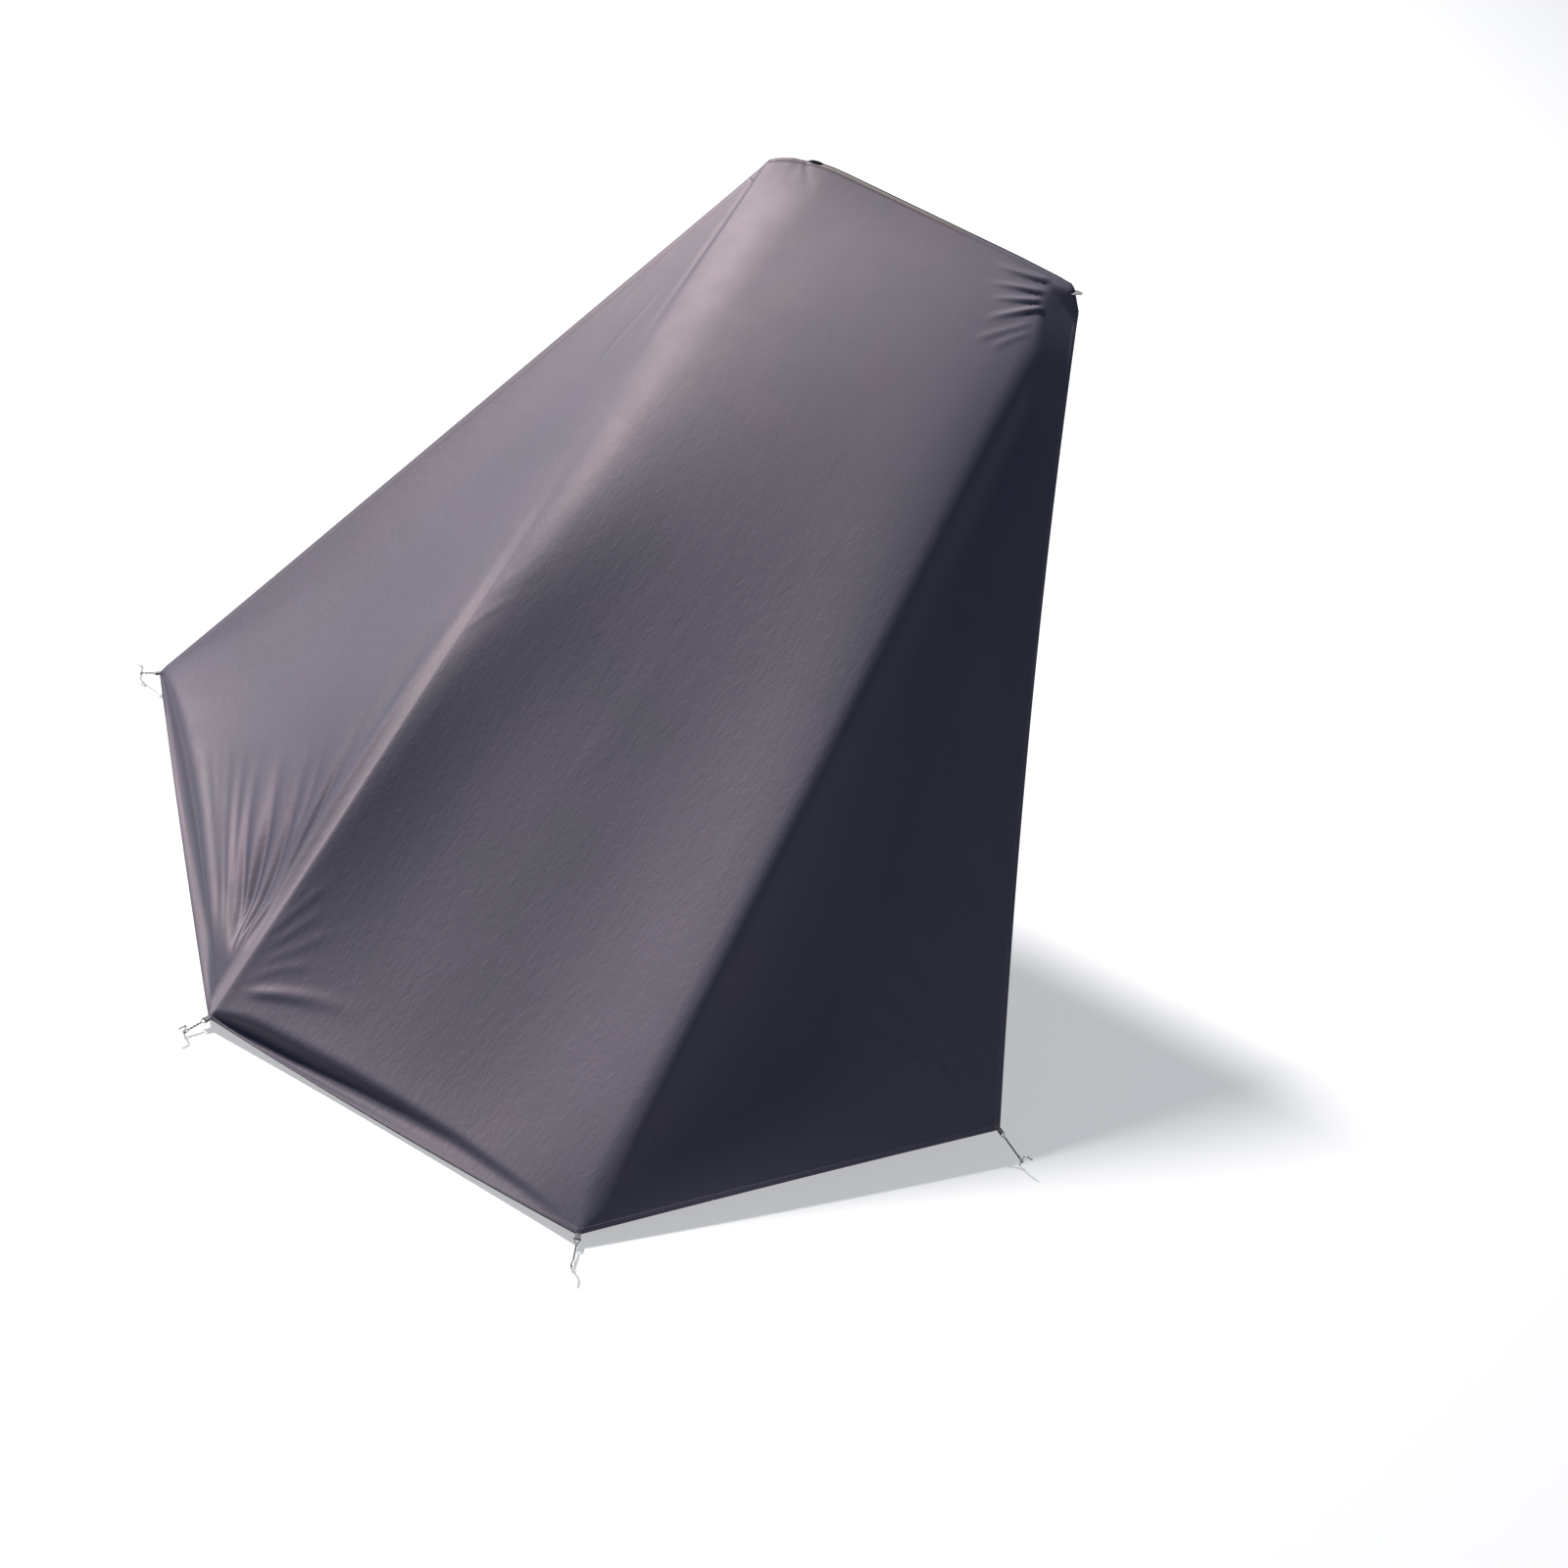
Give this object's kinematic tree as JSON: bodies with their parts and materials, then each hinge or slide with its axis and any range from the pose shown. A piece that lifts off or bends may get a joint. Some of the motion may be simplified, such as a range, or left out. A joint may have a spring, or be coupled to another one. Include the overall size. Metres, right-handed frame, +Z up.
{
  "type": "van awning",
  "caption": "Pitched lean-to cloth awning that hangs from a raised van tailgate, with a sloping front panel, two side wings and corded, pegged corners.",
  "frame": {"origin": "middle of the flat back face of the top hem, where it fastens to the raised tailgate; the ground is 2.08 m below it", "axes": "+Z up, +Y toward the van, -Y down the slope of the front panel, +X to the right of someone who looks at the front panel"},
  "size_m": [3.6491, 3.2634, 2.1],
  "materials": {
    "coated_cloth": "satin coated polyester, grey-mauve",
    "hem_cloth": "folded and stitched polyester, grey-mauve",
    "webbing": "light grey woven tape",
    "tie_cord": "light grey braided cord",
    "galvanised_steel": "dull galvanised steel"
  },
  "bodies": {
    "root": {"front_panel": "coated_cloth", "left_wing": "coated_cloth", "right_wing": "coated_cloth", "top_hem": "hem_cloth", "front_ground_hem": "hem_cloth", "left_rear_hem": "hem_cloth", "left_ground_hem": "hem_cloth", "right_rear_hem": "hem_cloth", "right_ground_hem": "hem_cloth", "left_tailgate_tab": "webbing", "right_tailgate_tab": "webbing", "left_rear_tab": "webbing", "left_front_tab": "webbing", "right_rear_tab": "webbing", "right_front_tab": "webbing", "left_rear_tie": "tie_cord", "left_front_tie": "tie_cord", "right_rear_tie": "tie_cord", "right_front_tie": "tie_cord", "left_rear_peg": "galvanised_steel", "left_front_peg": "galvanised_steel", "right_rear_peg": "galvanised_steel", "right_front_peg": "galvanised_steel"}
  },
  "joints": []
}
